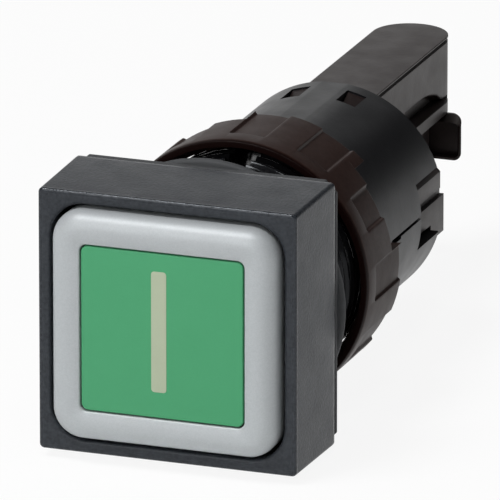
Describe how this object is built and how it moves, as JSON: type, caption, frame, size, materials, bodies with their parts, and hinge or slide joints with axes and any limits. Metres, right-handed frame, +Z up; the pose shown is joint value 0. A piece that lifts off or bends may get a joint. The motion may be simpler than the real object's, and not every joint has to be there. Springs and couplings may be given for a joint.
{
  "type": "industrial push button",
  "caption": "Square panel push button with a green plate in a silver frame, a round barrel with ring nut, and a rear tongue that carries contact blocks.",
  "frame": {"origin": "on the button's axis, in the plane where the gasket seats on the panel", "axes": "+Z up, the button faces -Y, +Y runs rearwards through the panel along the barrel, +X to the right seen from the front"},
  "size_m": [0.019, 0.0521, 0.019],
  "materials": {
    "slate_plastic": "fine matt texture",
    "brown_plastic": "satin moulding",
    "silver_paint": "satin metallic lacquer",
    "green_plastic": "satin",
    "pale_card": "plain",
    "grey_rubber": "matt",
    "spring_steel": "drawn wire"
  },
  "bodies": {
    "housing": {"front_bezel": "slate_plastic", "bezel_seal_plate": "grey_rubber", "panel_gasket": "grey_rubber", "lock_ring": "brown_plastic", "threaded_barrel": "slate_plastic", "contact_carrier": "brown_plastic", "return_spring": "spring_steel", "spring_seat": "spring_steel"},
    "nut": {"ring_nut": "brown_plastic"},
    "button": {"button_frame": "silver_paint", "button_plate": "green_plastic", "legend_insert": "pale_card", "button_base": "brown_plastic", "plunger": "brown_plastic", "plunger_ring": "grey_rubber", "retaining_clip": "spring_steel", "pusher_crosshead": "brown_plastic", "pusher_rail_left": "brown_plastic", "pusher_rail_right": "brown_plastic"}
  },
  "joints": [
    {"name": "button_press", "type": "slide", "parent": "housing", "child": "button", "axis": [0, 1, 0], "range_m": [0, 0.003], "stiffness_N_per_m": 500, "springref_m": -0.004, "deforming": ["return_spring"]},
    {"name": "nut_turn", "type": "hinge", "parent": "housing", "child": "nut", "pos_m": [0, 0.0082, 0], "axis": [0, 1, 0], "continuous": true}
  ]
}
